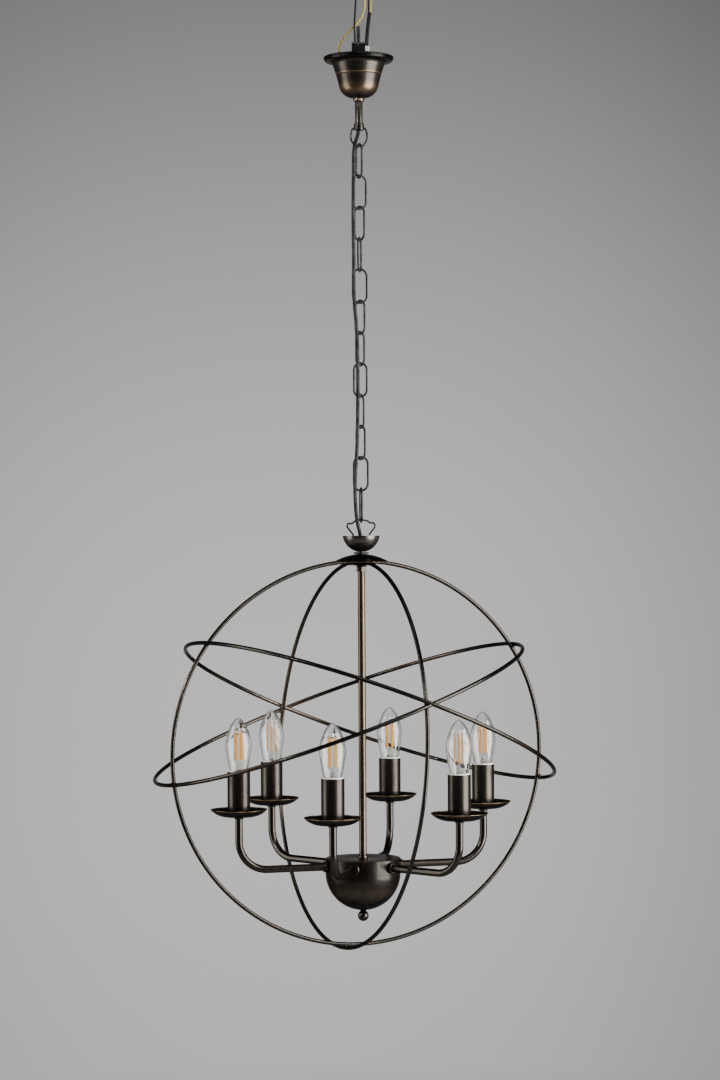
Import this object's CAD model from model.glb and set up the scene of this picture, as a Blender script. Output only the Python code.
import random
from math import atan2, cos, pi, radians, sin, sqrt, tan

import bmesh
import bpy
from bpy.props import FloatProperty, FloatVectorProperty, IntProperty
from mathutils import Matrix, Vector


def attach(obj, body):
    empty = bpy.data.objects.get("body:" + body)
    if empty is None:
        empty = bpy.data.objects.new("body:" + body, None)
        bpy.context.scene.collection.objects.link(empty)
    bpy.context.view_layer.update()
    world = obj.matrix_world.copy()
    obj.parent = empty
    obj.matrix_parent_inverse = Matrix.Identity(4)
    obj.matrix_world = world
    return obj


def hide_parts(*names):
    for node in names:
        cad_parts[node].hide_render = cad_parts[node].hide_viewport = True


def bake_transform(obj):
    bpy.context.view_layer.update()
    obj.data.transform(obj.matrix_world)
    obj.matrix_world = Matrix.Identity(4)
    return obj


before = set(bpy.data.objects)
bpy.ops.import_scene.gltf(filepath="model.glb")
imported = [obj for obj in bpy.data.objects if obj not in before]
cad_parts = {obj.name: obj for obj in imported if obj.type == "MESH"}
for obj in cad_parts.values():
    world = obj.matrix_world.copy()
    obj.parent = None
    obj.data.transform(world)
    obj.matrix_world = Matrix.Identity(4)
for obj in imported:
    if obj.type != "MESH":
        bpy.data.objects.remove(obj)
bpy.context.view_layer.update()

bl_info = {
    "name": "Orb chandelier",
    "version": (1, 0, 0),
    "blender": (4, 5, 0),
    "location": "View3D > Sidebar > Orb",
    "description": "Makes the visible pieces of an orb chandelier around its built frame",
    "category": "Object",
}

MM = 0.001
TOP = "ceiling_mount"
FIXTURE = "fixture"
LINKS = 12
LAMPS = 6

# heights where pieces meet, in mm from the ceiling line
BELL_GROOVE = -36.6
BELL_LOW = -67.2
GRIP_TOP = -101.2
LOOP_PIN = -107.6
GRIP_LOW = -110.4
LINK_TOP = -128.5
LOOP_LOW = -131.5
BAIL_TOP = -628.1
CUP_MIDDLE = -646.0
BAIL_PIN = -657.0
NECK_TOP = -671.0
NECK_LOW = -673.6
BOSS_LOW = -688.8
CROWN_FOOT = -700.0
SLEEVE_TOP = -957.8
TRAY_RIM = -1007.4
TRAY_TOP = -1016.2
TRAY_LOW = -1017.4
LID_TOP = -1077.5
LID_LOW = -1079.0
ARM_Z = -1087.85
BAND_LOW = -1096.7
BOWL_LOW = -1146.7

# other lengths shared by pieces, in mm, and the links' bearings in degrees from the top one down
BORE = 5.05
LINK_PITCH = 41.6
LINK_BEARINGS = (113, 20, -48, 78, 10, -50, 55, -24, 63, -53, 3, 98)


# ------------------------------------------------------------ sizes and colours that a user would change
def size(name, description, default):
    """A length property in metres, from millimetres."""
    return FloatProperty(name=name, description=description, default=default * MM, unit="LENGTH", precision=5)


def tint(name, description, default):
    """A colour property."""
    return FloatVectorProperty(name=name, description=description, default=default, size=3, subtype="COLOR")


class OrbSizes(bpy.types.PropertyGroup):
    """Lengths of the pieces."""
    rod_r: size("Hoop rod radius", "Radius of the round rod of the hoops", 2.75)
    bead_r: size("Weld bead", "Radius of the weld beads where hoops cross", 3.9)
    link_wire_r: size("Link wire radius", "Radius of the chain's wire", 1.5)
    link_long: size("Link length", "Outer length of a link", 47.9)
    link_wide: size("Link width", "Outer width of a link", 21.7)
    arm_r: size("Arm radius", "Radius of an arm's tube", 5.0)
    arm_reach: size("Arm reach", "From the axis to a candle's centre", 170.0)
    hub_r: size("Hub radius", "Radius of the domed hub", 50.0)
    flex_r: size("Flex radius", "Radius of the black flex", 2.5)
    rod_sides: IntProperty(name="Rod sides", description="Faces round a rod", default=20, min=8)
    first_angle: FloatProperty(name="First arm", description="Bearing of the first arm",
                               default=radians(-102.9), subtype="ANGLE")


class OrbColours(bpy.types.PropertyGroup):
    """Colours of the finishes."""
    bronze: tint("Bronze", "Dark bronze paint", (0.030, 0.027, 0.024))
    rub: tint("Rub", "Gold that shows where the paint is rubbed", (0.30, 0.215, 0.125))
    glow: tint("Warm rub", "Redder gold low on the bell", (0.22, 0.115, 0.05))
    amber: tint("Filament", "Amber filament strips", (0.62, 0.27, 0.02))
    floor: tint("Floor", "Pale floor", (0.30, 0.30, 0.303))


# ------------------------------------------------------------ shader maths
class Wire:
    """A socket of a material that can stand in a Python sum."""

    def __init__(self, paint, socket):
        self.paint = paint
        self.socket = socket

    def maths(self, operation, *values):
        """A maths node over values or wires."""
        return self.paint.node("ShaderNodeMath", {"operation": operation}, *values).out(0)

    def __add__(self, other):
        return self.maths("ADD", self, other)

    def __rsub__(self, other):
        return self.maths("SUBTRACT", other, self)

    def __mul__(self, other):
        return self.maths("MULTIPLY", self, other)

    def root(self):
        """Square root."""
        return self.maths("SQRT", self)

    def step(self, start, end, low=0.0, high=1.0):
        """Smooth ramp from low at start to high at end."""
        return self.paint.node("ShaderNodeMapRange", {"interpolation_type": "SMOOTHSTEP"},
                               self, start, end, low, high).out(0)

    def bump_at(self, middle, half):
        """1 at middle, falling to 0 half away on both sides."""
        return self.step(middle - half, middle) * self.step(middle + half, middle)

    def part(self, axis):
        """One coordinate of a vector."""
        return self.paint.node("ShaderNodeSeparateXYZ", {}, self).out(axis)


class Made:
    """A made node, with its outputs as wires."""

    def __init__(self, paint, node):
        self.paint = paint
        self.node = node

    def out(self, which):
        """An output, by its name or its place."""
        return Wire(self.paint, self.node.outputs[which])


class Paint:
    """A material under way. Every node but the maths comes from its node method."""

    def __init__(self, name):
        self.material = bpy.data.materials.new(name)
        self.material.use_nodes = True
        self.tree = self.material.node_tree
        self.base = self.tree.nodes["Principled BSDF"]
        self.place = self.node("ShaderNodeTexCoord", {}).out("Object")

    def put(self, socket, value):
        """Links a wire to a socket, or sets a plain value."""
        if isinstance(value, Wire):
            self.tree.links.new(value.socket, socket)
        elif value is not None:
            socket.default_value = value

    def node(self, kind, settings, *values, **named):
        """A node with its settings, and its inputs in order or by name."""
        node = self.tree.nodes.new(kind)
        for key, value in settings.items():
            setattr(node, key, value)
        for socket, value in zip(node.inputs, values):
            self.put(socket, value)
        for key, value in named.items():
            self.put(node.inputs[key], value)
        return Made(self, node)

    def noise(self, scale, detail, stretch=(1, 1, 1)):
        """Noise over the piece, 0 to 1, with its own stretch along each axis."""
        place = self.node("ShaderNodeMapping", {}, self.place, Scale=stretch).out(0)
        return self.node("ShaderNodeTexNoise", {}, Vector=place, Scale=scale, Detail=detail,
                         Roughness=0.55).out(0)

    def mix(self, factor, first, second):
        """First colour where factor is 0, second where it is 1."""
        node = self.tree.nodes.new("ShaderNodeMix")
        node.data_type = "RGBA"
        for socket, value in zip((node.inputs[0], node.inputs[6], node.inputs[7]), (factor, first, second)):
            self.put(socket, (*value, 1.0) if isinstance(value, (tuple, list)) else value)
        return Wire(self, node.outputs[2])

    def bump(self, height, strength, distance):
        """Fine relief from a height."""
        return self.node("ShaderNodeBump", {}, strength, distance, Height=height).out(0)

    def set(self, **values):
        """Sets or links the shader's inputs by name, and gives the material."""
        for key, value in values.items():
            key = key.replace("_", " ")
            if isinstance(value, (tuple, list)) and len(value) == 3:
                value = (*value, 1.0)
            self.put(self.base.inputs[key], value)
        return self.material


class Sky(Paint):
    """The world's shader under way. Its place is the direction looked in."""

    def __init__(self, name):
        world = bpy.data.worlds.new(name)
        world.use_nodes = True
        self.tree = world.node_tree
        self.base = self.tree.nodes["Background"]
        self.place = self.node("ShaderNodeTexCoord", {}).out("Generated")
        bpy.context.scene.world = world


def plain(value):
    """A colour property as a tuple."""
    return tuple(value[:3])


def mix_plain(first, second, share):
    """A colour between two."""
    return tuple(a + (b - a) * share for a, b in zip(first, second))


def rubbed(name, dark, gold, streaks, shine, amount, bands=(), edge=None, shade=None):
    """Dark bronze paint, brushed and rubbed to gold. Bands are (height, half width, strength) in mm.
    A shade darkens the paint from one height to another, in mm."""
    paint = Paint(name)
    fine = paint.noise(900, 2, streaks)
    broad = paint.noise(60, 3, streaks)
    cloud = paint.noise(22, 3)
    rub = fine.step(0.50, 0.72) * 0.55 + broad.step(0.52, 0.74) * 0.45
    rub = rub * cloud.step(0.30, 0.70, 0.35, 1.0) * amount
    height = paint.place.part(2)
    for middle, half, strength in bands:
        rub = rub + height.bump_at(middle * MM, half * MM) * (fine * 0.5 + 0.6) * strength
    if edge is not None:
        rub = rub + edge(paint) * (fine * 0.6 + 0.05)
    rub = rub.step(0.0, 1.0)
    colour = paint.mix(rub, dark, gold)
    specks = paint.noise(2600, 1).step(0.66, 0.74)
    colour = paint.mix(specks * 0.35, colour, mix_plain(dark, gold, 0.7))
    if shade is not None:
        colour = paint.mix(height.step(shade[0] * MM, shade[1] * MM) * 0.8, colour, (0.002, 0.002, 0.002))
    rough = fine.step(0.3, 0.7, shine - 0.07, shine + 0.10)
    return paint.set(Base_Color=colour, Metallic=0.96, Roughness=rough, Specular_Tint=(0.30, 0.28, 0.26),
                     Coat_Weight=0.10, Coat_Roughness=0.07, Normal=paint.bump(fine, 0.22, 0.00015))


def enamel(name, colour, shine, wear=0.35, gloss=0.5):
    """Even paint or plastic with small changes of tone and gloss."""
    paint = Paint(name)
    cloud = paint.noise(90, 4)
    fine = paint.noise(1400, 2)
    tone = paint.mix(cloud.step(0.3, 0.7) * wear, colour, mix_plain(colour, (0.5, 0.45, 0.4), 0.22))
    return paint.set(Base_Color=tone, Roughness=fine.step(0.3, 0.7, shine - 0.05, shine + 0.08),
                     Specular_IOR_Level=gloss, Normal=paint.bump(fine, 0.12, 0.0001))


def brushed(name, colour, shine):
    """Bare metal with fine marks."""
    paint = Paint(name)
    marks = paint.noise(260, 2, (8, 8, 8))
    cloud = paint.noise(40, 3)
    tone = paint.mix(marks * 0.5 + cloud * 0.25, mix_plain(colour, (0, 0, 0), 0.35), colour)
    rough = marks.step(0.3, 0.7, shine - 0.08, shine + 0.12)
    return paint.set(Base_Color=tone, Metallic=1.0, Roughness=rough, Normal=paint.bump(marks, 0.25, 0.0001))


def clear_glass(name, colour):
    """Clear blown glass with a faint ripple."""
    paint = Paint(name)
    ripple = paint.noise(70, 2)
    return paint.set(Base_Color=paint.mix(ripple * 0.3, colour, mix_plain(colour, (1, 1, 1), 0.5)),
                     Roughness=0.01, IOR=1.45, Transmission_Weight=1.0,
                     Normal=paint.bump(ripple, 0.05, 0.0002))


# ------------------------------------------------------------ outlines and paths, in mm
def arc(first, middle, last, steps):
    """Points of the circle arc through three points of a plane, both ends included."""
    (ax, ay), (bx, by), (cx, cy) = first, middle, last
    d = 2 * (ax * (by - cy) + bx * (cy - ay) + cx * (ay - by))
    ux = ((ax**2 + ay**2) * (by - cy) + (bx**2 + by**2) * (cy - ay) + (cx**2 + cy**2) * (ay - by)) / d
    uy = ((ax**2 + ay**2) * (cx - bx) + (bx**2 + by**2) * (ax - cx) + (cx**2 + cy**2) * (bx - ax)) / d
    radius = sqrt((ax - ux)**2 + (ay - uy)**2)
    start, mid, end = (atan2(y - uy, x - ux) for x, y in (first, middle, last))
    turn = (end - start) % (2 * pi)
    if (mid - start) % (2 * pi) > turn:
        turn -= 2 * pi
    return [(ux + radius * cos(start + turn * i / steps), uy + radius * sin(start + turn * i / steps))
            for i in range(steps + 1)]


def rounded(points, closed=False, steps=6):
    """Points whose corners are rounded. A point is (place, radius)."""
    spots = [Vector(place) for place, _ in points]
    found = []
    count = len(spots)
    for i, (_, radius) in enumerate(points):
        here = spots[i]
        if radius <= 0 or (not closed and i in (0, count - 1)):
            found.append(here)
            continue
        back = (spots[i - 1] - here)
        ahead = (spots[(i + 1) % count] - here)
        half = back.angle(ahead) / 2
        if half > pi / 2 - 0.01:
            found.append(here)
            continue
        reach = min(radius / tan(half), 0.499 * back.length, 0.499 * ahead.length)
        middle = here + (back.normalized() + ahead.normalized()).normalized() * reach / cos(half)
        first = here + back.normalized() * reach - middle
        last = here + ahead.normalized() * reach - middle
        for k in range(steps + 1):
            found.append(middle + first.normalized().slerp(last.normalized(), k / steps) * first.length)
    return found


def corners(*items):
    """Rounded outline in the radius and height plane, each item (radius, height, corner radius)."""
    line = rounded([((r, 0.0, z), f) for r, z, f in items], closed=True)
    return [(p.x, p.z) for p in line]


# ------------------------------------------------------------ meshes
def shade(piece, material, sharp):
    """Smooth shading with edges sharper than an angle in degrees kept, and one finish."""
    mesh = piece.data
    mesh.polygons.foreach_set("use_smooth", [True] * len(mesh.polygons))
    mesh.set_sharp_from_angle(angle=radians(sharp))
    mesh.materials.clear()
    mesh.materials.append(material)


def finish_piece(piece, material, body, nodes=(), sharp=32):
    """Shading, finish, slot, body and the nodes that a piece stands for."""
    shade(piece, material, sharp)
    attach(piece, body)
    if nodes:
        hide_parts(*nodes)


def link_in(piece):
    """Puts a new object in the scene, its name written with underscores."""
    piece.name = piece.name.replace(" ", "_")
    bpy.context.scene.collection.objects.link(piece)
    return piece


def from_bmesh(name, work):
    """An object of a mesh under way, its doubles merged and its faces turned outwards."""
    bmesh.ops.remove_doubles(work, verts=work.verts, dist=1e-7)
    bmesh.ops.recalc_face_normals(work, faces=work.faces)
    mesh = bpy.data.meshes.new(name)
    work.to_mesh(mesh)
    work.free()
    return link_in(bpy.data.objects.new(name, mesh))


def turned(name, outline, count, at=(0.0, 0.0)):
    """A turned shape from a closed outline of (radius, height) points in mm, about an upright axis."""
    work = bmesh.new()
    rings = []
    for r, z in outline:
        if r < 1e-4:
            rings.append([work.verts.new((at[0] * MM, at[1] * MM, z * MM))])
            continue
        rings.append([work.verts.new(((at[0] + r * cos(a)) * MM, (at[1] + r * sin(a)) * MM, z * MM))
                      for a in (2 * pi * i / count for i in range(count))])
    for low, high in zip(rings, rings[1:] + rings[:1]):
        for i in range(count):
            j = (i + 1) % count
            ring = [low[i % len(low)], low[j % len(low)], high[j % len(high)], high[i % len(high)]]
            face = list(dict.fromkeys(ring))
            if len(face) > 2:
                work.faces.new(face)
    return from_bmesh(name, work)


def nut(name, flats, low, high, bevel):
    """A six-sided nut with broken edges, between two heights in mm."""
    work = bmesh.new()
    place = Matrix.Translation((0, 0, (low + high) / 2 * MM))
    corner_r = flats / sqrt(3) * MM
    bmesh.ops.create_cone(work, cap_ends=True, segments=6, radius1=corner_r, radius2=corner_r,
                          depth=(high - low) * MM, matrix=place)
    bmesh.ops.bevel(work, geom=work.edges[:], offset=bevel * MM, segments=2, affect="EDGES", profile=0.5)
    return from_bmesh(name, work)


# ------------------------------------------------------------ geometry node trees
class Tree:
    """A geometry node tree under way."""

    def __init__(self, name, **inputs):
        self.group = bpy.data.node_groups.new(name, "GeometryNodeTree")
        self.group.interface.new_socket("Geometry", in_out="INPUT", socket_type="NodeSocketGeometry")
        self.group.interface.new_socket("Geometry", in_out="OUTPUT", socket_type="NodeSocketGeometry")
        self.names = {}
        for key, kind in inputs.items():
            made = self.group.interface.new_socket(key, in_out="INPUT", socket_type=kind)
            self.names[key] = made.identifier
        self.entry = self.group.nodes.new("NodeGroupInput")
        self.exit = self.group.nodes.new("NodeGroupOutput")

    def node(self, kind, settings=None, **values):
        node = self.group.nodes.new(kind)
        for key, value in (settings or {}).items():
            setattr(node, key, value)
        for key, value in values.items():
            socket = node.inputs[key.replace("_", " ")]
            if isinstance(value, bpy.types.NodeSocket):
                self.group.links.new(value, socket)
            else:
                socket.default_value = value
        return node

    def close(self, socket):
        """Realize Instances, Set Material and the way out."""
        real = self.node("GeometryNodeRealizeInstances", Geometry=socket)
        paint = self.node("GeometryNodeSetMaterial", Geometry=real.outputs[0],
                          Material=self.entry.outputs["Material"])
        self.group.links.new(paint.outputs[0], self.exit.inputs[0])
        return self


def rod_tree():
    """A round rod along the object's curve."""
    tree = Tree("Rod along a line", Radius="NodeSocketFloat", Sides="NodeSocketInt",
                Material="NodeSocketMaterial")
    out = tree.entry.outputs
    ring = tree.node("GeometryNodeCurvePrimitiveCircle", Resolution=out["Sides"], Radius=out["Radius"])
    rod = tree.node("GeometryNodeCurveToMesh", Curve=out["Geometry"], Profile_Curve=ring.outputs[0],
                    Fill_Caps=True)
    return tree.close(rod.outputs[0])


def ring_tree():
    """Copies of the object's mesh turned about the upright axis."""
    tree = Tree("Copies round the axis", Count="NodeSocketInt", First="NodeSocketFloat",
                Material="NodeSocketMaterial")
    count = tree.entry.outputs["Count"]
    points = tree.node("GeometryNodePoints", Count=count)
    index = tree.node("GeometryNodeInputIndex")
    share = tree.node("ShaderNodeMath", {"operation": "DIVIDE"})
    tree.group.links.new(index.outputs[0], share.inputs[0])
    tree.group.links.new(count, share.inputs[1])
    angle = tree.node("ShaderNodeMath", {"operation": "MULTIPLY_ADD"})
    tree.group.links.new(share.outputs[0], angle.inputs[0])
    angle.inputs[1].default_value = 2 * pi
    tree.group.links.new(tree.entry.outputs["First"], angle.inputs[2])
    turn = tree.node("ShaderNodeCombineXYZ", Z=angle.outputs[0])
    copies = tree.node("GeometryNodeInstanceOnPoints", Points=points.outputs[0],
                       Instance=tree.entry.outputs["Geometry"], Rotation=turn.outputs[0])
    return tree.close(copies.outputs[0])


def thread_tree():
    """A screw thread: a small round ridge wound about the upright axis, upwards from the origin."""
    tree = Tree("Thread", Radius="NodeSocketFloat", Ridge="NodeSocketFloat", Turns="NodeSocketFloat",
                Height="NodeSocketFloat", Base="NodeSocketVector", Material="NodeSocketMaterial")
    out = tree.entry.outputs
    line = tree.node("GeometryNodeCurveSpiral", Resolution=28, Rotations=out["Turns"],
                     Start_Radius=out["Radius"], End_Radius=out["Radius"], Height=out["Height"])
    ring = tree.node("GeometryNodeCurvePrimitiveCircle", Resolution=6, Radius=out["Ridge"])
    ridge = tree.node("GeometryNodeCurveToMesh", Curve=line.outputs[0], Profile_Curve=ring.outputs[0],
                      Fill_Caps=True)
    moved = tree.node("GeometryNodeTransform", Geometry=ridge.outputs[0], Translation=out["Base"])
    return tree.close(moved.outputs[0])


def grown(name, source, tree, **values):
    """The plain mesh that a tree makes from an object. The source and the modifier are removed."""
    modifier = source.modifiers.new("Maker", "NODES")
    modifier.node_group = tree.group
    for key, value in values.items():
        modifier[tree.names[key]] = value
    bpy.context.view_layer.update()
    view = source.evaluated_get(bpy.context.evaluated_depsgraph_get())
    mesh = bpy.data.meshes.new_from_object(view)
    mesh.name = name
    source.modifiers.remove(modifier)
    bpy.data.objects.remove(source)
    work = bmesh.new()
    work.from_mesh(mesh)
    bmesh.ops.remove_doubles(work, verts=work.verts, dist=1e-7)
    bmesh.ops.recalc_face_normals(work, faces=work.faces)
    work.to_mesh(mesh)
    work.free()
    if not mesh.polygons:
        raise RuntimeError(name + " came out empty")
    return link_in(bpy.data.objects.new(name, mesh))


def line_object(points, closed):
    """A straight-run curve through points in mm."""
    curve = bpy.data.curves.new("line", "CURVE")
    curve.dimensions = "3D"
    spline = curve.splines.new("POLY")
    spline.points.add(len(points) - 1)
    for spot, point in zip(spline.points, points):
        spot.co = (point[0] * MM, point[1] * MM, point[2] * MM, 1.0)
    spline.use_cyclic_u = closed
    return link_in(bpy.data.objects.new("line", curve))


def rod_piece(name, points, radius, closed=False, sides=None):
    """A round rod along points in mm; radius in metres."""
    sides = sides or bpy.context.scene.orb_sizes.rod_sides
    return grown(name, line_object(points, closed), TREES["rod"], Radius=radius, Sides=sides, Material=None)


def round_axis(name, single, count=LAMPS, first=None):
    """Copies of a mesh object round the axis, as one mesh."""
    first = bpy.context.scene.orb_sizes.first_angle if first is None else first
    return grown(name, single, TREES["ring"], Count=count, First=first, Material=None)


def thread_piece(name, radius, ridge, turns, low, high, at=(0.0, 0.0)):
    """A thread between two heights in mm."""
    source = link_in(bpy.data.objects.new("seed", bpy.data.meshes.new("seed")))
    return grown(name, source, TREES["thread"], Radius=radius * MM, Ridge=ridge * MM, Turns=turns,
                 Height=(high - low) * MM, Base=(at[0] * MM, at[1] * MM, low * MM), Material=None)


TREES = {}
FINISH = {}


def colours():
    """The colours that a user would change."""
    return bpy.context.scene.orb_colours


def make_finishes():
    """Every finish, once."""
    c = colours()
    dark, gold, glow = plain(c.bronze), plain(c.rub), plain(c.glow)
    upright = (14, 14, 0.5)
    black = (0, 0, 0)
    FINISH["bell"] = rubbed("Rubbed bell bronze", mix_plain(dark, gold, 0.03), mix_plain(gold, glow, 0.5),
                            upright, shine=0.30, amount=0.45, shade=(-22.0, -17.0),
                            bands=((-13.4, 0.6, 0.25), (BELL_GROOVE + 1.0, 1.0, 0.9), (-56, 13, 0.45)))
    FINISH["hub"] = rubbed("Rubbed hub bronze", mix_plain(dark, black, 0.3), mix_plain(gold, dark, 0.45),
                           upright, shine=0.29, amount=0.80,
                           bands=((LID_TOP - 0.4, 0.7, 0.25), (BAND_LOW - 0.3, 0.8, 0.30), (-1122, 14, 0.3)))
    FINISH["bronze"] = rubbed("Dark bronze", dark, gold, (6, 6, 1.2), shine=0.25, amount=0.40)
    FINISH["dome"] = rubbed("Dome bronze", mix_plain(dark, black, 0.3), gold, (6, 6, 1.2), shine=0.30,
                            amount=0.30, bands=((-684.4, 0.8, 1.0),))
    FINISH["tube"] = rubbed("Tube bronze", mix_plain(dark, gold, 0.14), gold, (12, 12, 0.4), shine=0.24,
                            amount=0.9)
    FINISH["arm"] = rubbed("Arm bronze", mix_plain(dark, gold, 0.02), gold, (3, 3, 3), shine=0.20,
                           amount=0.50)
    FINISH["tray"] = rubbed("Tray bronze", mix_plain(dark, black, 0.2), mix_plain(gold, glow, 0.3), (4, 4, 4),
                            shine=0.25, amount=0.40, bands=((TRAY_RIM - 0.5, 0.9, 1.0),))
    FINISH["sleeve"] = rubbed("Sleeve black", mix_plain(dark, gold, 0.03), gold, (12, 12, 0.6), shine=0.28,
                              amount=0.45)
    FINISH["hoop"] = rubbed("Hoop bronze", mix_plain(dark, black, 0.25), gold, (5, 5, 5), shine=0.20,
                            amount=0.50, edge=outer_side)
    FINISH["pewter"] = rubbed("Cup pewter", (0.085, 0.078, 0.070), (0.34, 0.26, 0.19), upright, shine=0.25,
                              amount=0.6)
    FINISH["stem"] = rubbed("Stem bronze", mix_plain(dark, black, 0.2), gold, (20, 20, 0.5), shine=0.28,
                            amount=0.60)
    FINISH["collar"] = rubbed("Collar bronze", mix_plain(dark, gold, 0.20),
                              mix_plain(gold, (0.9, 0.7, 0.4), 0.3), (8, 8, 8), shine=0.24, amount=0.9)
    FINISH["chain"] = enamel("Chain black", (0.008, 0.0075, 0.007), 0.16, wear=0.3, gloss=0.16)
    FINISH["strap"] = brushed("Dark zinc", (0.10, 0.10, 0.10), 0.36)
    FINISH["steel"] = brushed("Zinc plate", (0.62, 0.62, 0.60), 0.32)
    FINISH["brass"] = brushed("Brass", (0.78, 0.58, 0.27), 0.25)
    FINISH["flex"] = enamel("Flex black", (0.008, 0.008, 0.008), 0.34, wear=0.3, gloss=0.08)
    FINISH["black"] = enamel("Black moulding", (0.02, 0.02, 0.02), 0.42)
    FINISH["pale"] = enamel("Pale moulding", (0.62, 0.64, 0.62), 0.38, wear=0.2)
    FINISH["white"] = enamel("White holder", (0.80, 0.78, 0.73), 0.40, wear=0.2)
    FINISH["earth"] = striped("Earth insulation", (0.42, 0.26, 0.02), (0.13, 0.17, 0.02))
    FINISH["brown"] = enamel("Brown insulation", (0.010, 0.005, 0.004), 0.34, wear=0.1, gloss=0.05)
    FINISH["grey"] = enamel("Dark sheath", (0.005, 0.005, 0.005), 0.36, wear=0.1, gloss=0.05)
    FINISH["glass"] = clear_glass("Lamp glass", (0.985, 0.985, 0.975))
    FINISH["amber"] = enamel("Filament amber", plain(c.amber), 0.45, wear=0.15)
    amber = FINISH["amber"].node_tree.nodes["Principled BSDF"]
    amber.inputs["Emission Color"].default_value = (*plain(c.amber), 1.0)
    amber.inputs["Emission Strength"].default_value = 0.35


def outer_side(paint):
    """Strong on the side of a hoop's rod that faces away from the orb's middle, in patches."""
    middle = (-0.008, 0.005, -0.935)
    away = paint.node("ShaderNodeVectorMath", {"operation": "DISTANCE"}, paint.place, middle).out(1)
    patches = paint.noise(9, 3).step(0.40, 0.66)
    return away.step(0.2585, 0.2625) * patches * 0.55


def striped(name, first, second):
    """Two-coloured insulation, in slanting stripes."""
    paint = Paint(name)
    band = paint.place.part(0) * 260 + paint.place.part(1) * 90
    stripe = paint.node("ShaderNodeMath", {"operation": "SINE"}, band * 6.28).out(0).step(-0.2, 0.2)
    fine = paint.noise(1200, 2)
    return paint.set(Base_Color=paint.mix(stripe * 0.8, first, second),
                     Roughness=fine.step(0.3, 0.7, 0.28, 0.4))


# ------------------------------------------------------------ operators
class OrbMaker:
    """What every maker shares."""
    bl_options = {"REGISTER", "UNDO"}

    def execute(self, context):
        self.make(context.scene.orb_sizes)
        return {"FINISHED"}


class ORB_OT_finishes(OrbMaker, bpy.types.Operator):
    """Makes the finishes and the trees that the other makers use"""
    bl_idname = "orb.finishes"
    bl_label = "Finishes"

    def make(self, sizes):
        TREES.update(rod=rod_tree(), ring=ring_tree(), thread=thread_tree())
        make_finishes()


class ORB_OT_mount(OrbMaker, bpy.types.Operator):
    """Ceiling strap, nuts, connectors, stem and cord grip"""
    bl_idname = "orb.mount"
    bl_label = "Ceiling mount"

    def make(self, sizes):
        for node, finish in (("crossbar_bracket", "strap"), ("stem_nuts", "steel"), ("earth_screw", "brass"),
                             ("terminal_block", "black"), ("pale_connector", "pale"),
                             ("hub_connector", "black"), ("crown_nipple", "steel"), ("hanger_ring", "chain")):
            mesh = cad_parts[node].data
            mesh.materials.clear()
            mesh.materials.append(FINISH[finish])
        bore, thread_r, stem_r = 3.3, 4.75, 5.0
        top, thread_low, low = -5.0, -34.0, GRIP_LOW + 4.2
        stem = turned("stem", [(bore, top - 0.4), (bore + 0.4, top), (thread_r - 0.25, top),
                               (thread_r, top - 0.3), (thread_r, thread_low), (stem_r, thread_low - 0.4),
                               (stem_r, low), (bore, low)], 48)
        finish_piece(stem, FINISH["stem"], TOP, ["stem_tube"])
        thread = thread_piece("stem thread", thread_r - 0.03, 0.28, 27, thread_low + 0.5, top - 1)
        finish_piece(thread, FINISH["stem"], TOP)
        outer, groove, seat = 6.85, GRIP_TOP - 3.9, GRIP_TOP - 5.2
        grip = turned("cord grip", corners((BORE, GRIP_TOP, 0.2), (outer, GRIP_TOP, 0.8),
                                           (outer, groove + 0.5, 0.2), (outer - 0.3, groove + 0.2, 0.2),
                                           (outer - 0.3, groove - 0.2, 0.2), (outer, groove - 0.5, 0.2),
                                           (outer, GRIP_LOW, 0.9), (3.0, GRIP_LOW, 0.4), (3.0, seat, 0.1),
                                           (BORE, seat, 0.1)), 56)
        finish_piece(grip, FINISH["stem"], TOP, ["cord_grip"])


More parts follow.
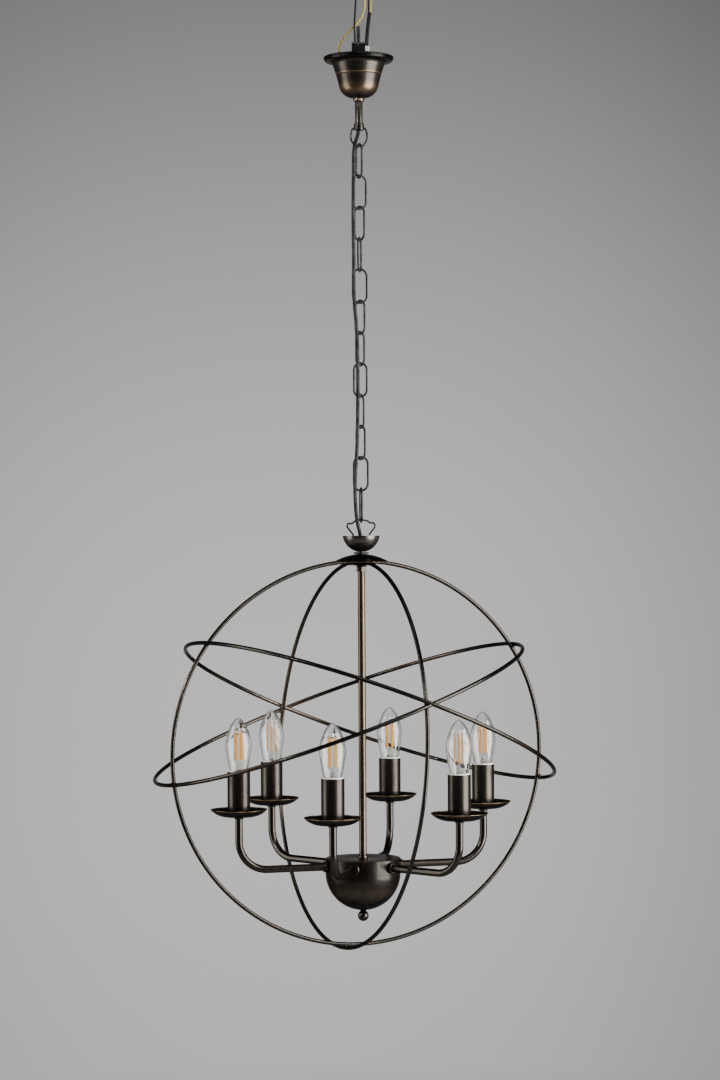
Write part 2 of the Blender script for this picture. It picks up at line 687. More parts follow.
class ORB_OT_bell(OrbMaker, bpy.types.Operator):
    """Bell canopy and the collar that locks it on the stem"""
    bl_idname = "orb.bell"
    bl_label = "Bell canopy"

    def make(self, sizes):
        wall = 1.2
        outside = self.skin(0.0)
        inside = self.skin(wall)
        lip = arc(outside[-1], (45.15, -12.6), inside[-1], 8)
        outline = outside[:-1] + lip + inside[::-1][1:] + [(BORE, BELL_LOW + wall), (BORE, BELL_LOW)]
        bell = turned("bell canopy", outline, 96)
        finish_piece(bell, FINISH["bell"], "bell", ["canopy_bell"], 50)
        collar_r, low = 7.25, BELL_LOW - 4.9
        collar = turned("lock collar", corners((BORE, low, 0.2), (collar_r, low, 1.0),
                                               (collar_r, BELL_LOW, 1.0), (BORE, BELL_LOW, 0.2)), 48)
        finish_piece(collar, FINISH["collar"], "bell", ["lock_collar"])
        screw = turned("collar screw", corners((0, -1.1, 0), (1.3, -1.1, 0.3), (1.3, 1.1, 0.1),
                                               (0, 1.1, 0)), 20)
        place = Matrix.Translation((0, -collar_r * MM, (BELL_LOW + low) / 2 * MM))
        screw.data.transform(place @ Matrix.Rotation(radians(90), 4, "X"))
        finish_piece(screw, FINISH["brass"], "bell", ["lock_collar"])

    def skin(self, inset):
        """The bell's wall line from its flat bottom to the side of its lip."""
        slant = inset / sqrt(2)
        waist = (26.6 - inset, -50.1)
        shoulder = (33.9 - inset, -25.3)
        lip = 45.75 - inset
        flare = (lip - 2.4, -19.2 + inset)
        line = arc((9.75, BELL_LOW + inset), (26.6 * 0.76 - slant, -62.3 + slant), waist, 14)
        side = arc(waist, (29.75 - inset, -37.7), shoulder, 14)
        if inset == 0:
            side = self.grooved(side)
        line += side[1:]
        line += arc(shoulder, (36.5 - inset, -20.7), flare, 10)[1:]
        line += arc(flare, (lip - 0.72, -18.2 + inset * 0.6), (lip, -15.9), 8)[1:]
        return line

    def grooved(self, line):
        """The same line with extra points near the groove, and the groove pressed in."""
        found = []
        for first, last in zip(line, line[1:]):
            near = min(first[1], last[1]) > BELL_GROOVE - 3.4 and max(first[1], last[1]) < BELL_GROOVE + 3.6
            count = 8 if near else 1
            found += [tuple(a + (b - a) * i / count for a, b in zip(first, last)) for i in range(count)]
        found.append(line[-1])
        deep, half = 0.55, 0.9
        return [(r - deep * max(0.0, 1 - abs(z - BELL_GROOVE) / half), z) for r, z in found]


class ORB_OT_loop(OrbMaker, bpy.types.Operator):
    """Wire loop under the cord grip"""
    bl_idname = "orb.loop"
    bl_label = "Loop"

    def make(self, sizes):
        half = [((4.2, 0, LOOP_PIN), 0), ((8.85, 0, LOOP_PIN), 2.4), ((12, 0, LOOP_PIN - 13.15), 13.0),
                ((5.52, 0, LOOP_LOW), 5.0)]
        left = [((-p[0], 0, p[2]), r) for p, r in half]
        loop = rod_piece("canopy loop", rounded(left + half[::-1], steps=8), 1.3 * MM, sides=16)
        finish_piece(loop, FINISH["chain"], "loop", ["canopy_loop"])


class ORB_OT_chain(OrbMaker, bpy.types.Operator):
    """The chain's oval links, each with the seam of its butt weld"""
    bl_idname = "orb.chain"
    bl_label = "Chain"

    def make(self, sizes):
        wire = sizes.link_wire_r / MM
        bend = sizes.link_wide / MM / 2 - wire
        leg = (sizes.link_long - sizes.link_wide) / MM / 2
        line = [(bend * cos(pi * i / 16), 0, leg + bend * sin(pi * i / 16)) for i in range(17)]
        line += [(-bend * cos(pi * i / 16), 0, -leg - bend * sin(pi * i / 16)) for i in range(17)]
        first = rod_piece("link", line, sizes.link_wire_r, closed=True, sides=14)
        seam = turned("seam", corners((0, -0.9, 0), (wire + 0.05, -0.9, 0.3), (wire + 0.18, 0, 0.5),
                                      (wire + 0.05, 0.9, 0.3), (0, 0.9, 0)), 14, at=(bend, 0))
        for i, bearing in enumerate(LINK_BEARINGS):
            body = "link_%02d" % (i + 1)
            middle = (LINK_TOP - LINK_PITCH * i - leg - bend) * MM
            place = Matrix.Translation((0, 0, middle)) @ Matrix.Rotation(radians(bearing), 4, "Z")
            for source, label in ((first, "chain link %02d"), (seam, "link seam %02d")):
                mesh = source.data.copy()
                mesh.transform(place)
                piece = link_in(bpy.data.objects.new(label % (i + 1), mesh))
                finish_piece(piece, FINISH["chain"], body, ["chain_" + body])
        bpy.data.objects.remove(first)
        bpy.data.objects.remove(seam)


class ORB_OT_crown(OrbMaker, bpy.types.Operator):
    """Bail, half cup, neck, crown dome, boss and coupling nut"""
    bl_idname = "orb.crown"
    bl_label = "Crown"

    def make(self, sizes):
        self.bail()
        self.cup()
        self.dome()

    def bail(self):
        """Bent wire with a wavy top. A hump is (across, below the top, corner radius)."""
        foot = [((5.5, 0, BAIL_PIN), 0), ((11.0, 0, BAIL_PIN), 1.6), ((10.5, 0, BAIL_PIN + 9.0), 6.0)]
        humps = [(-19.2, 8.9, 4.5), (-17.6, 4.6, 2.2), (-12.2, 5.2, 2.2), (-7.4, 1.0, 2.6), (0, 0, 24.0),
                 (7.8, 1.2, 2.6), (12.4, 4.4, 2.2), (17.6, 4.1, 2.2), (18.8, 9.3, 4.5)]
        line = [((-p[0], 0, p[2]), r) for p, r in foot]
        line += [((x, 0, BAIL_TOP - down), r) for x, down, r in humps] + foot[::-1]
        bail = rod_piece("bail", rounded(line, steps=7), 1.25 * MM, sides=14)
        finish_piece(bail, FINISH["chain"], "bail", ["bail_hanger"])

    def cup(self):
        """Half cup and the neck under it."""
        cup_r, wall, rim = 25, 1.2, CUP_MIDDLE - 3.3
        inner_r = cup_r - wall
        outer = [(cup_r * sin(a), CUP_MIDDLE - cup_r * cos(a))
                 for a in (radians(12 + 70.4 * i / 24) for i in range(25))]
        inner = [(inner_r * sin(a), CUP_MIDDLE - inner_r * cos(a))
                 for a in (radians(82 - 69 * i / 24) for i in range(25))]
        low = CUP_MIDDLE - cup_r + 0.1
        cup = turned("half cup", [(BORE, low)] + outer + [(24.65, rim), (24.0, rim)] + inner
                     + [(BORE, low + 1.6)], 80)
        finish_piece(cup, FINISH["pewter"], FIXTURE, ["half_cup"], 40)
        neck_r = 10.5
        neck = turned("cup neck", corners((BORE, NECK_LOW, 0.1), (neck_r, NECK_LOW, 0.5),
                                          (neck_r - 0.6, (NECK_LOW + NECK_TOP) / 2, 0.6),
                                          (neck_r, NECK_TOP, 0.5), (BORE, NECK_TOP, 0.1)), 56)
        finish_piece(neck, FINISH["chain"], FIXTURE, ["cup_neck"])

    def dome(self):
        """Crown dome, the boss that the hoops pass and the coupling nut under it."""
        dome_r, dome_high, wall = 37.5, 10.7, 1.5
        rim = NECK_LOW - dome_high
        ball = (dome_r**2 + dome_high**2) / (2 * dome_high)
        middle = NECK_LOW - ball
        spread = [radians(4.05 + (32.0 - 4.05) * i / 16) for i in range(17)]
        outer = [(ball * sin(a), middle + ball * cos(a)) for a in spread if ball * sin(a) < dome_r - 0.2]
        inner = [((ball - wall) * sin(a), middle + (ball - wall) * cos(a)) for a in spread
                 if (ball - wall) * sin(a) < dome_r - 1.0]
        lip = [(dome_r, rim + 0.2), (dome_r - 0.15, rim - 0.2), (dome_r - 0.7, rim - 0.4)]
        dome = turned("crown dome", [(BORE, NECK_LOW - 0.15)] + outer + lip + inner[::-1]
                      + [(BORE, NECK_LOW - 1.7)], 80)
        finish_piece(dome, FINISH["dome"], FIXTURE, ["crown_dome"], 40)
        boss_r, flange_r, flange_top, top = 13.0, 17.5, BOSS_LOW + 2.3, BOSS_LOW + 11.6
        boss = turned("crown boss", corners((BORE, BOSS_LOW, 0.1), (flange_r, BOSS_LOW, 0.7),
                                            (flange_r, flange_top, 0.7), (boss_r, flange_top, 0.6),
                                            (boss_r, top, 0.2), (BORE, top, 0.1)), 64)
        finish_piece(boss, FINISH["bronze"], FIXTURE, ["crown_boss"])
        coupling = nut("coupling nut", flats=13.5, low=BOSS_LOW - 8.3, high=BOSS_LOW, bevel=0.45)
        finish_piece(coupling, FINISH["arm"], FIXTURE, ["coupling_nut"], 25)


class ORB_OT_hoops(OrbMaker, bpy.types.Operator):
    """The four hoops of round rod and the weld beads where they cross"""
    bl_idname = "orb.hoops"
    bl_label = "Hoops"

    def oval(self, across, high, centre, yaw, lean):
        """Centre line of an upright hoop: four tangent arcs of an oval."""
        shift = (across - high) * (1 + 1 / sqrt(2))
        side_r, top_r = across - shift, high + shift
        place = (Matrix.Translation(centre) @ Matrix.Rotation(radians(lean), 4, "Y")
                 @ Matrix.Rotation(radians(yaw), 4, "Z"))
        found = []
        for i in range(256):
            a = 2 * pi * (i + 0.5) / 256
            upright = abs(sin(a)) > sqrt(0.5)
            radius = top_r if upright else side_r
            x = radius * cos(a) + (0 if upright else shift * (1 if cos(a) > 0 else -1))
            z = radius * sin(a) - (shift * (1 if sin(a) > 0 else -1) if upright else 0)
            found.append(place @ Vector((x, 0, z)))
        return found

    def level(self, radius, centre, tilt, toward):
        """Centre line of a hoop that lies nearly level."""
        place = (Matrix.Translation(centre) @ Matrix.Rotation(radians(toward), 4, "Z")
                 @ Matrix.Rotation(radians(tilt), 4, "Y"))
        return [place @ Vector((radius * cos(2 * pi * i / 256), radius * sin(2 * pi * i / 256), 0))
                for i in range(256)]

    def crossings(self, first, second):
        """The two places where two hoops pass each other."""
        near = sorted(((a - b).length, i, (a + b) / 2) for i, a in enumerate(first) for b in second)
        best = near[0][2]
        other = next(spot for _, _, spot in near if (spot - best).length > 60)
        return [best, other]

    def make(self, sizes):
        wide = self.oval(across=260.5, high=254.0, centre=(-2.8, -8.0, -937.0), yaw=21.0, lean=0.0)
        narrow = self.oval(across=261.0, high=256.8, centre=(-18.1, 12.5, -939.8), yaw=-67.9, lean=4.0)
        low_left = self.level(radius=260.0, centre=(-31.6, 11.0, -885.3), tilt=19.9, toward=-167.5)
        low_right = self.level(radius=260.0, centre=(9.2, 26.8, -885.2), tilt=22.1, toward=31.1)
        lines = {"hoop_wide": wide, "hoop_narrow": narrow, "hoop_low_left": low_left,
                 "hoop_low_right": low_right}
        for node, line in lines.items():
            hoop = rod_piece(node.replace("_", " "), line, sizes.rod_r, closed=True)
            finish_piece(hoop, FINISH["hoop"], FIXTURE, [node])
        spots = self.crossings(narrow, wide)
        for hoop in (low_left, low_right):
            spots += self.crossings(hoop, wide) + self.crossings(hoop, narrow)
        dice = random.Random(7)
        work = bmesh.new()
        for spot in (s for s in spots if s.z < CROWN_FOOT):
            grow = [dice.uniform(0.92, 1.0) * sizes.bead_r for _ in range(3)]
            place = Matrix.Translation(spot * MM) @ Matrix.Diagonal((*grow, 1))
            made = bmesh.ops.create_icosphere(work, subdivisions=3, radius=1.0, matrix=place)
            for vert in made["verts"]:
                away = vert.co - spot * MM
                vert.co = spot * MM + away * (1 - 0.10 * dice.random())
        beads = from_bmesh("weld beads", work)
        finish_piece(beads, FINISH["hoop"], FIXTURE, (), 80)


class ORB_OT_hub(OrbMaker, bpy.types.Operator):
    """Centre tube, hub lid, band, bowl and finial"""
    bl_idname = "orb.hub"
    bl_label = "Hub"

    def make(self, sizes):
        r = sizes.hub_r / MM
        wall = 1.5
        tube = turned("centre tube", [(4, BOSS_LOW - 2.2), (5, BOSS_LOW - 2.2), (5, LID_TOP + 3.0),
                                      (5.6, LID_TOP + 3.0), (6.1, LID_TOP + 2.7), (6.3, LID_TOP + 2.1),
                                      (6.3, LID_TOP), (5, LID_TOP), (5, LID_TOP - 12.5),
                                      (4, LID_TOP - 12.5)], 40)
        finish_piece(tube, FINISH["tube"], FIXTURE, ["centre_tube"])
        lid = turned("hub lid", corners((BORE, LID_TOP, 0.1), (r - 3.4, LID_TOP, 0.4),
                                        (r - 3.0, LID_TOP - 0.25, 0.3), (r - 2.6, LID_TOP, 0.3),
                                        (r, LID_TOP, 0.7), (r, LID_LOW, 0.3), (BORE, LID_LOW, 0.1)), 96)
        finish_piece(lid, FINISH["hub"], FIXTURE, ["hub_lid"])
        band = turned("hub band", corners((r, LID_LOW, 0.3), (r, BAND_LOW, 0.4), (r - wall, BAND_LOW, 0.1),
                                          (r - wall, LID_LOW, 0.1)), 96)
        finish_piece(band, FINISH["hub"], FIXTURE, ["hub_band"])
        top, hole = BAND_LOW - 0.2, 2.1
        turns = [pi / 2 * i / 28 for i in range(29)]
        outer = [(max(r * cos(a), hole), max(top - r * sin(a), BOWL_LOW)) for a in turns]
        inner = [(max((r - wall) * cos(a), hole), top - (r - wall) * sin(a)) for a in turns]
        bowl = turned("hub bowl", outer + inner[::-1], 96)
        finish_piece(bowl, FINISH["hub"], FIXTURE, ["hub_bowl"], 40)
        ball_r, middle, rod_r, rod_top = 7.3, BOWL_LOW - 7.8, 2.0, LID_TOP - 11.5
        ball = [(ball_r * sin(a), middle - ball_r * cos(a)) for a in (pi * 0.83 * i / 24 for i in range(25))]
        finial = turned("finial", ball + [(3.6, BOWL_LOW - 1.3), (3.9, BOWL_LOW - 0.7), (4.6, BOWL_LOW - 0.1),
                                          (rod_r, BOWL_LOW + 0.1), (rod_r, rod_top), (0, rod_top)], 48)
        finish_piece(finial, FINISH["bronze"], FIXTURE, ["finial"], 40)


class ORB_OT_arms(OrbMaker, bpy.types.Operator):
    """Bent arms, their collars at the hub and the bosses under the trays"""
    bl_idname = "orb.arms"
    bl_label = "Arms"

    def make(self, sizes):
        reach = sizes.arm_reach / MM
        hub = sizes.hub_r / MM
        line = rounded([((hub - 7, 0, ARM_Z), 0), ((reach, 0, ARM_Z), 48.0), ((reach, 0, TRAY_TOP + 5.0), 0)],
                       steps=28)
        arms = round_axis("arms", rod_piece("arm", line, sizes.arm_r))
        nodes = ["arm_%d" % (i + 1) for i in range(LAMPS)]
        finish_piece(arms, FINISH["arm"], FIXTURE, nodes)
        collar = turned("collar", corners((BORE, hub - 0.3, 0.1), (7.2, hub - 0.3, 0.2),
                                          (7.2, hub + 3.6, 0.5), (6.2, hub + 5, 0.6),
                                          (BORE, hub + 5, 0.2)), 40)
        collar.data.transform(Matrix.Translation((0, 0, ARM_Z * MM)) @ Matrix.Rotation(radians(90), 4, "Y"))
        finish_piece(round_axis("arm collars", collar), FINISH["arm"], FIXTURE,
                     ["arm_collars"])
        boss = turned("boss", corners((4.9, TRAY_LOW - 2.7, 0.1), (5.9, TRAY_LOW - 2.7, 0.4),
                                      (6.5, TRAY_LOW - 1.2, 0.5), (6.5, TRAY_LOW, 0.2),
                                      (4.9, TRAY_LOW, 0.1)), 40, at=(reach, 0))
        finish_piece(round_axis("tray bosses", boss), FINISH["arm"], FIXTURE, nodes)


class ORB_OT_trays(OrbMaker, bpy.types.Operator):
    """Drip trays, candle sleeves and the lampholders in them"""
    bl_idname = "orb.trays"
    bl_label = "Trays and sleeves"

    def make(self, sizes):
        reach = sizes.arm_reach / MM
        outer = arc((17, TRAY_LOW), (29.5, TRAY_RIM - 6.6), (37.3, TRAY_RIM - 0.5), 14)
        lip = [(37.5, TRAY_RIM - 0.25), (37.4, TRAY_RIM - 0.02), (37.0, TRAY_RIM), (36.5, TRAY_RIM - 0.2)]
        inner = arc((36.3, TRAY_RIM - 0.6), (28.9, TRAY_RIM - 5.5), (17, TRAY_TOP), 14)
        outline = [(BORE, TRAY_LOW)] + outer + lip + inner + [(BORE, TRAY_TOP)]
        tray = turned("tray", outline, 72, at=(reach, 0))
        finish_piece(round_axis("drip trays", tray), FINISH["tray"], FIXTURE,
                     ["drip_trays"], 40)
        sleeve = turned("sleeve", corners((14, TRAY_TOP, 0.1), (15, TRAY_TOP, 0.2), (15, SLEEVE_TOP, 0.4),
                                          (14, SLEEVE_TOP, 0.3)), 64, at=(reach, 0))
        finish_piece(round_axis("candle sleeves", sleeve), FINISH["sleeve"], FIXTURE,
                     ["candle_sleeves"])
        low, top, step, floor = TRAY_TOP + 5.0, SLEEVE_TOP + 1.5, SLEEVE_TOP - 11, SLEEVE_TOP - 35.3
        well = 7.3
        holder = turned("holder", corners((0, low, 0), (9.5, low, 0.4), (9.5, step - 3, 0.3),
                                          (13.9, step - 1, 0.3), (13.9, top, 0.6), (12.9, top, 0.5),
                                          (12.9, SLEEVE_TOP - 3, 0.3), (11.1, step, 0.3), (well, step, 0.3),
                                          (well, floor, 0.3), (0, floor, 0)), 56, at=(reach, 0))
        finish_piece(round_axis("lampholders", holder), FINISH["white"], FIXTURE,
                     ["lamp_holders"])


class ORB_OT_lamps(OrbMaker, bpy.types.Operator):
    """Clear candle lamps with an inner stem, four filament strips and a screw base"""
    bl_idname = "orb.lamps"
    bl_label = "Lamps"

    def glass_line(self, inset):
        """The glass from its neck to its tip, which is a small ball cap."""
        up = SLEEVE_TOP
        cap_r, spread = 2.2, radians(52)
        cap = up + 70.9 - inset - cap_r
        neck, belly, taper = (9.5 - inset, up - 9), (17.4 - inset, up + 33), (12.6 - inset, up + 55 - inset)
        tip = [(cap_r * sin(spread * (1 - i / 5)), cap + cap_r * cos(spread * (1 - i / 5))) for i in range(6)]
        line = arc(neck, (14.2 - inset, up + 12), belly, 16)
        line += arc(belly, (16.2 - inset, up + 44.5), taper, 14)[1:]
        line += arc(taper, (8.3 - inset * 0.8, up + 63.6 - inset), tip[0], 12)[1:]
        return line + tip[1:]

    def make(self, sizes):
        reach = sizes.arm_reach / MM
        up = SLEEVE_TOP
        low = up - 9
        for n in range(LAMPS):
            angle = sizes.first_angle + 2 * pi * n / LAMPS
            at = (reach * cos(angle), reach * sin(angle))
            body = "lamp_%d" % (n + 1)
            label = "lamp %d " % (n + 1)
            skin = self.glass_line(0.0)
            skin[-1] = (0.0, skin[-1][1])
            core = self.glass_line(0.8)[::-1]
            core[0] = (0.0, core[0][1])
            glass = turned(label + "glass", skin + core, 56, at)
            finish_piece(glass, FINISH["glass"], body, [body], 60)
            stem = turned(label + "inner stem",
                          [(0, low + 0.2), (7.8, low + 0.2), (6.4, low + 2.2), (4.4, low + 6),
                           (3.0, low + 11), (2.0, low + 17), (1.5, up + 12.6), (1.7, up + 13.2),
                           (1.3, up + 13.9), (0, up + 14.0)], 28, at)
            finish_piece(stem, FINISH["glass"], body, [body], 60)
            base = turned(label + "base", corners((0, low - 26, 0), (3.6, low - 26, 0.4),
                                                  (6.1, low - 22.4, 0.5), (6.1, low - 4, 0.4),
                                                  (6.9, low - 3.4, 0.4), (9.4, low - 1.4, 0.4),
                                                  (9.4, low + 0.1, 0.3), (0, low + 0.1, 0)), 40, at)
            finish_piece(base, FINISH["brass"], body, [body])
            thread = thread_piece(label + "thread", 6.2, 0.65, 5.5, low - 21.5, low - 5, at)
            finish_piece(thread, FINISH["brass"], body, [body], 60)
            strip = turned("strip", corners((0, up + 14.5, 0), (0.75, up + 14.5, 0.5), (1.1, up + 16, 0.4),
                                            (1.1, up + 50, 0.4), (0.6, up + 51.8, 0.4), (0, up + 52, 0)), 12)
            strip.data.transform(Matrix.Translation((5.6 * MM, 0, 0)))
            strips = round_axis(label + "filaments", strip, 4, radians(45) + angle)
            strips.data.transform(Matrix.Translation((at[0] * MM, at[1] * MM, 0)))
            finish_piece(strips, FINISH["amber"], body, [body])
            wire = rod_piece("wire", rounded([((1.2, 0, up + 12.8), 0), ((5.2, 0, up + 13.2), 0.8),
                                              ((5.6, 0, up + 15.2), 0)], steps=4), 0.25 * MM, sides=8)
            wires = round_axis(label + "support wires", wire, 4, radians(45) + angle)
            hook = rod_piece("hook", rounded([((5.6, 0, up + 51.6), 0), ((5.2, 0, up + 53.8), 0.8),
                                              ((0, 0, up + 54.3), 0)], steps=4), 0.25 * MM, sides=8)
            hooks = round_axis(label + "top wires", hook, 4, radians(45) + angle)
            for piece in (wires, hooks):
                piece.data.transform(Matrix.Translation((at[0] * MM, at[1] * MM, 0)))
                finish_piece(piece, FINISH["steel"], body, [body])


FLEX_ROUTE = [(0, 0, 28), (0, 0, -90.5), (0, 0, -113.5), (-7.2, -9.4, -133), (-7.3, -12.5, -168),
              (-8.4, -12.2, -222), (-7.7, -12.9, -284), (-8.2, -12.4, -334), (-4.0, -13.8, -376),
              (-3.1, -14.2, -436), (-3.7, -14.0, -492), (-4.6, -13.7, -532), (-7.6, -12.6, -570),
              (-7.9, -12.2, -604), (-5.2, -12.8, -633), (0, 0, -650.5), (0, 0, -688)]
EARTH_ROUTE = [(8.6, 5, 72), (9.2, 5, 54), (3.6, 5, 38.5), (-9, 5, 26), (-20, 5.5, 14), (-27.6, 6.5, 1),
               (-24.6, 9.5, -9.5), (-15.5, 13.5, -11), (-7.2, 15, -11.45)]
LINE_ROUTE = [(-3, -12, 72), (-3.6, -12.6, 50), (-5.6, -13.4, 28), (-4.6, -13.7, 12), (-4.6, -13.7, -2)]
SUPPLY_ROUTE = [(10.8, -13.7, -1.5), (10.8, -13.7, 13), (15.0, -13.2, 44)]
DARK_ROUTE = [(13.8, -13.2, 44), (13.4, -12.8, 58), (14.0, -13.2, 72)]
GREEN_ROUTE = [(16.3, -13.2, 44), (17.4, -13.7, 57), (16.7, -13.3, 72)]


def lead_curve(name, route):
    """A smooth curve with the route's points as control points."""
    curve = bpy.data.curves.new(name, "CURVE")
    curve.dimensions = "3D"
    curve.resolution_u = 24
    spline = curve.splines.new("NURBS")
    spline.points.add(len(route) - 1)
    for spot, point in zip(spline.points, route):
        spot.co = (point[0] * MM, point[1] * MM, point[2] * MM, 1.0)
    spline.order_u = 3
    spline.use_endpoint_u = True
    return link_in(bpy.data.objects.new(name, curve))


def curve_points(piece):
    """The points that a curve draws, in metres."""
    bpy.context.view_layer.update()
    mesh = bpy.data.meshes.new_from_object(piece.evaluated_get(bpy.context.evaluated_depsgraph_get()))
    points = [v.co.copy() for v in mesh.vertices]
    bpy.data.meshes.remove(mesh)
    return points


def path_length(points):
    """The length of a line through points."""
    return sum((b - a).length for a, b in zip(points, points[1:]))


class ORB_OT_flex(OrbMaker, bpy.types.Operator):
    """The black flex beside the chain, in one stretch for each pivot that it bends across"""
    bl_idname = "orb.flex"
    bl_label = "Flex"

    def make(self, sizes):
        guide = lead_curve("flex guide", FLEX_ROUTE)
        points = curve_points(guide)
        bpy.data.objects.remove(guide)
        if points[0].z < points[-1].z:
            points.reverse()
        bodies = [TOP, "loop"] + ["link_%02d" % (i + 1) for i in range(LINKS)] + ["bail", FIXTURE]
        link_pivots = [-173.4 - LINK_PITCH * i for i in range(LINKS - 1)]
        pivots = [LOOP_PIN, LOOP_LOW] + link_pivots + [-631.0, BAIL_PIN]
        cuts = [-117.5] + [-150.95 - LINK_PITCH * i for i in range(LINKS)] + [-644.0]
        above_all, below_all = 100.0, -1000.0
        edges = [above_all] + cuts + [below_all]
        for i, (a, b) in enumerate(zip(bodies, bodies[1:])):
            run = self.between(points, edges[i] * MM, edges[i + 1] * MM)
            piece = rod_piece("flex %02d" % (i + 1), [p / MM for p in run], sizes.flex_r, sides=18)
            shade(piece, FINISH["flex"], 50)
            reach = min(13.0, abs(run[0].z / MM - pivots[i]), abs(run[-1].z / MM - pivots[i])) - 0.5
            (pivots[i] + reach) * MM
            (pivots[i] - reach) * MM
            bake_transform(piece)
            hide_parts("flex_cable")
            path_length(run)

    def between(self, points, high, low):
        """The stretch of the points between two heights, cut exactly."""
        run = []
        for first, last in zip(points, points[1:]):
            for level in (high, low):
                if first.z > level >= last.z:
                    run.append(first.lerp(last, (first.z - level) / (first.z - last.z)))
            if low < last.z < high:
                run.append(last)
        if points[0].z < high:
            run.insert(0, points[0])
        if points[-1].z > low and run[-1] != points[-1]:
            run.append(points[-1])
        return [p for i, p in enumerate(run) if i == 0 or (p - run[i - 1]).length > 2e-4]


class ORB_OT_leads(OrbMaker, bpy.types.Operator):
    """Loose leads above the bell"""
    bl_idname = "orb.leads"
    bl_label = "Leads"

    def make(self, sizes):
        for name, route, radius, finish, slot, node, far in (
            ("earth lead", EARTH_ROUTE[::-1], 1.25, "earth", "earth_green", "earth_lead", "bare"),
            ("line lead", LINE_ROUTE[::-1], 1.25, "brown", "lead_brown", "line_lead", "bare"),
            ("supply cable", SUPPLY_ROUTE, 2.5, "grey", "cable_grey", "supply_cable", "object"),
            ("supply dark core", DARK_ROUTE, 1.1, "grey", "cable_grey", "supply_cable", "bare"),
            ("supply green core", GREEN_ROUTE, 1.1, "earth", "cable_grey", "supply_cable", "bare"),
        ):
            lead = lead_curve(name, route)
            points = curve_points(lead)
            lead.data.bevel_depth = radius * MM
            lead.data.bevel_resolution = 5
            lead.data.use_fill_caps = True
            lead.data.materials.append(FINISH[finish])
            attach(lead, TOP)
            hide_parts(node)
            shortest_cord = 30 * MM
            if path_length(points) < shortest_cord:
                continue
            path_length(points)


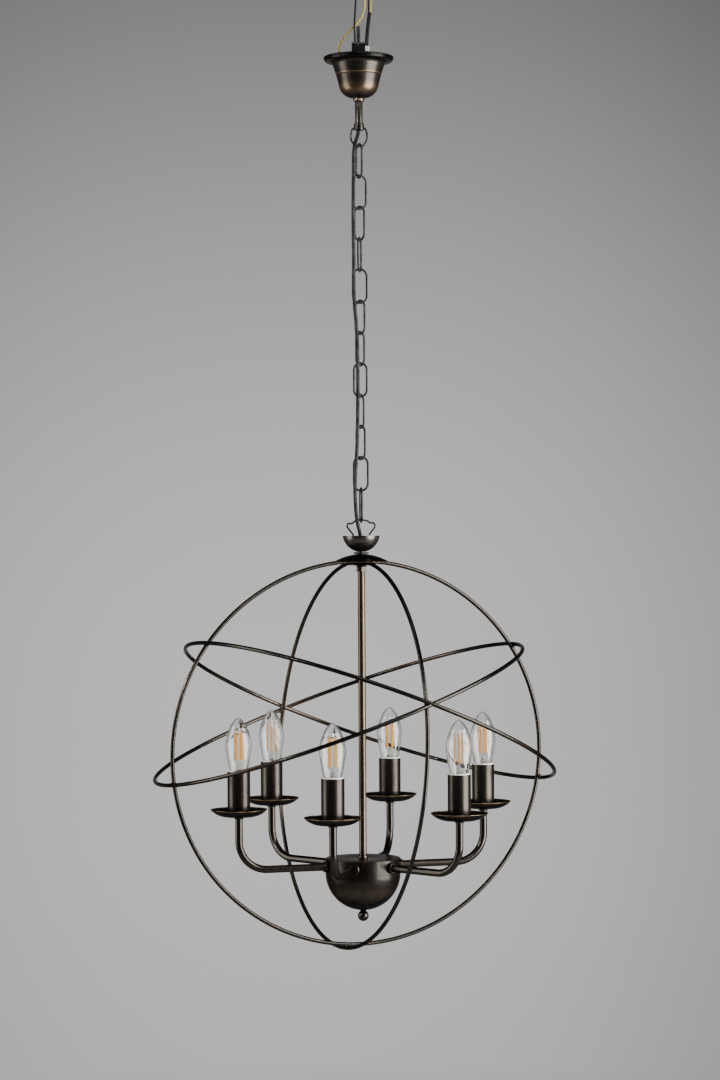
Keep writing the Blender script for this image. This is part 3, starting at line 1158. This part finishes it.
class ORB_OT_stage(OrbMaker, bpy.types.Operator):
    """Pale floor and backdrop, soft studio lights and the camera at the photograph's angle"""
    bl_idname = "orb.stage"
    bl_label = "Stage"

    def make(self, sizes):
        self.floor()
        self.room()
        self.lights()
        self.camera()

    def floor(self):
        """A round pale floor that fades out toward its edge and lets the view from below through."""
        level, edge, fade_start, fade_end = -1.75, 2.4, 1.0, 2.2
        work = bmesh.new()
        bmesh.ops.create_circle(work, cap_ends=True, segments=96, radius=edge)
        bmesh.ops.translate(work, verts=work.verts, vec=(0, 0, level))
        mesh = bpy.data.meshes.new("floor")
        work.to_mesh(mesh)
        work.free()
        paint = Paint("Floor paper")
        x, y = paint.place.part(0), paint.place.part(1)
        reach = (x * x + y * y).root()
        below = paint.node("ShaderNodeNewGeometry", {}).out("Backfacing")
        grain = paint.noise(1.5, 2).step(0.3, 0.7, 0.98, 1.02)
        mesh.materials.append(paint.set(Base_Color=paint.mix(grain, (0, 0, 0), plain(colours().floor)),
                                        Roughness=0.9,
                                        Alpha=reach.step(fade_start, fade_end, 1.0, 0.0) * (1 - below)))
        link_in(bpy.data.objects.new("floor", mesh))

    def room(self):
        """Pale backdrop before the camera, in the glass and behind the object; a dim room elsewhere."""
        sky = Sky("soft room")
        across, back, up = (sky.place.part(axis) for axis in range(3))
        rays = sky.node("ShaderNodeLightPath", {})
        dim = (0.052, 0.053, 0.056)
        seen = sky.place.maths("MAXIMUM", rays.out("Is Camera Ray"), rays.out("Is Transmission Ray"))
        seen = seen.maths("MAXIMUM", seen, back.step(0.0, 0.3))
        side = across + 0.025
        pale = up.step(-0.06, 0.27, 0.665, 0.165) * up.step(-0.22, -0.09, 0.86, 1.0)
        pale = pale * (side * side).step(-0.01, 0.035, 1.04, 0.60)
        sky.put(sky.base.inputs["Color"], sky.mix(seen, dim, pale))

    def lights(self):
        """Area lights from each side, the front and the top. Places are in metres, powers in watts."""
        middle = (0.0, 0.0, -0.75)
        for name, place, aim, power, wide, high in (
            ("right box", (1.74, -0.77, -0.65), middle, 155, 1.6, 2.1),
            ("left box", (-1.89, -0.26, -0.65), middle, 35, 1.0, 2.1),
            ("front top", (0.5, -2.7, 1.25), middle, 22, 1.2, 0.5),
            ("spark", (-2.3, -2.0, 0.55), (0.0, 0.0, -0.1), 40, 0.12, 0.12),
            ("top", (0.3, -0.2, 1.9), middle, 8, 1.3, 1.3),
        ):
            light = bpy.data.lights.new(name, "AREA")
            light.shape = "RECTANGLE"
            light.size, light.size_y = wide, high
            light.energy = power
            lamp = link_in(bpy.data.objects.new(name, light))
            lamp.location = place
            lamp.visible_camera = False
            lamp.rotation_euler = (Vector(aim) - Vector(place)).to_track_quat("-Z", "Y").to_euler()

    def camera(self):
        """A level camera, rolled a little, with the photograph's focal length in pixels."""
        focal, high = 2800, 1080
        data = bpy.data.cameras.new("camera")
        data.sensor_fit = "VERTICAL"
        data.sensor_height = 36.0
        data.lens = focal / high * data.sensor_height
        data.clip_start = 0.05
        camera = link_in(bpy.data.objects.new("camera", data))
        stand = Matrix.Translation((-0.0016, -3.724, -0.655))
        level, roll = Matrix.Rotation(radians(90), 4, "X"), Matrix.Rotation(radians(-0.32), 4, "Z")
        camera.matrix_world = stand @ level @ roll
        bpy.context.scene.camera = camera


MAKERS = (ORB_OT_finishes, ORB_OT_mount, ORB_OT_bell, ORB_OT_loop, ORB_OT_chain, ORB_OT_crown, ORB_OT_hoops,
          ORB_OT_hub, ORB_OT_arms, ORB_OT_trays, ORB_OT_lamps, ORB_OT_flex, ORB_OT_leads, ORB_OT_stage)


class ORB_PT_panel(bpy.types.Panel):
    """The sidebar panel with the sizes, the colours and the makers"""
    bl_idname = "ORB_PT_panel"
    bl_label = "Orb chandelier"
    bl_space_type = "VIEW_3D"
    bl_region_type = "UI"
    bl_category = "Orb"

    def draw(self, context):
        """The sizes and colours, then a button for each maker."""
        for group in (context.scene.orb_sizes, context.scene.orb_colours):
            for key in group.__annotations__:
                self.layout.prop(group, key)
        for maker in MAKERS:
            self.layout.operator(maker.bl_idname)


def register():
    """Adds the classes and the scene's sizes and colours."""
    for kind in (OrbSizes, OrbColours, *MAKERS, ORB_PT_panel):
        bpy.utils.register_class(kind)
    bpy.types.Scene.orb_sizes = bpy.props.PointerProperty(type=OrbSizes)
    bpy.types.Scene.orb_colours = bpy.props.PointerProperty(type=OrbColours)


def unregister():
    """Takes them away again."""
    del bpy.types.Scene.orb_sizes
    del bpy.types.Scene.orb_colours
    for kind in (ORB_PT_panel, *reversed(MAKERS), OrbColours, OrbSizes):
        bpy.utils.unregister_class(kind)


def main():
    """Runs every maker."""
    register()
    for maker in MAKERS:
        group, name = maker.bl_idname.split(".")
        getattr(getattr(bpy.ops, group), name)()


if __name__ == "__main__":
    main()
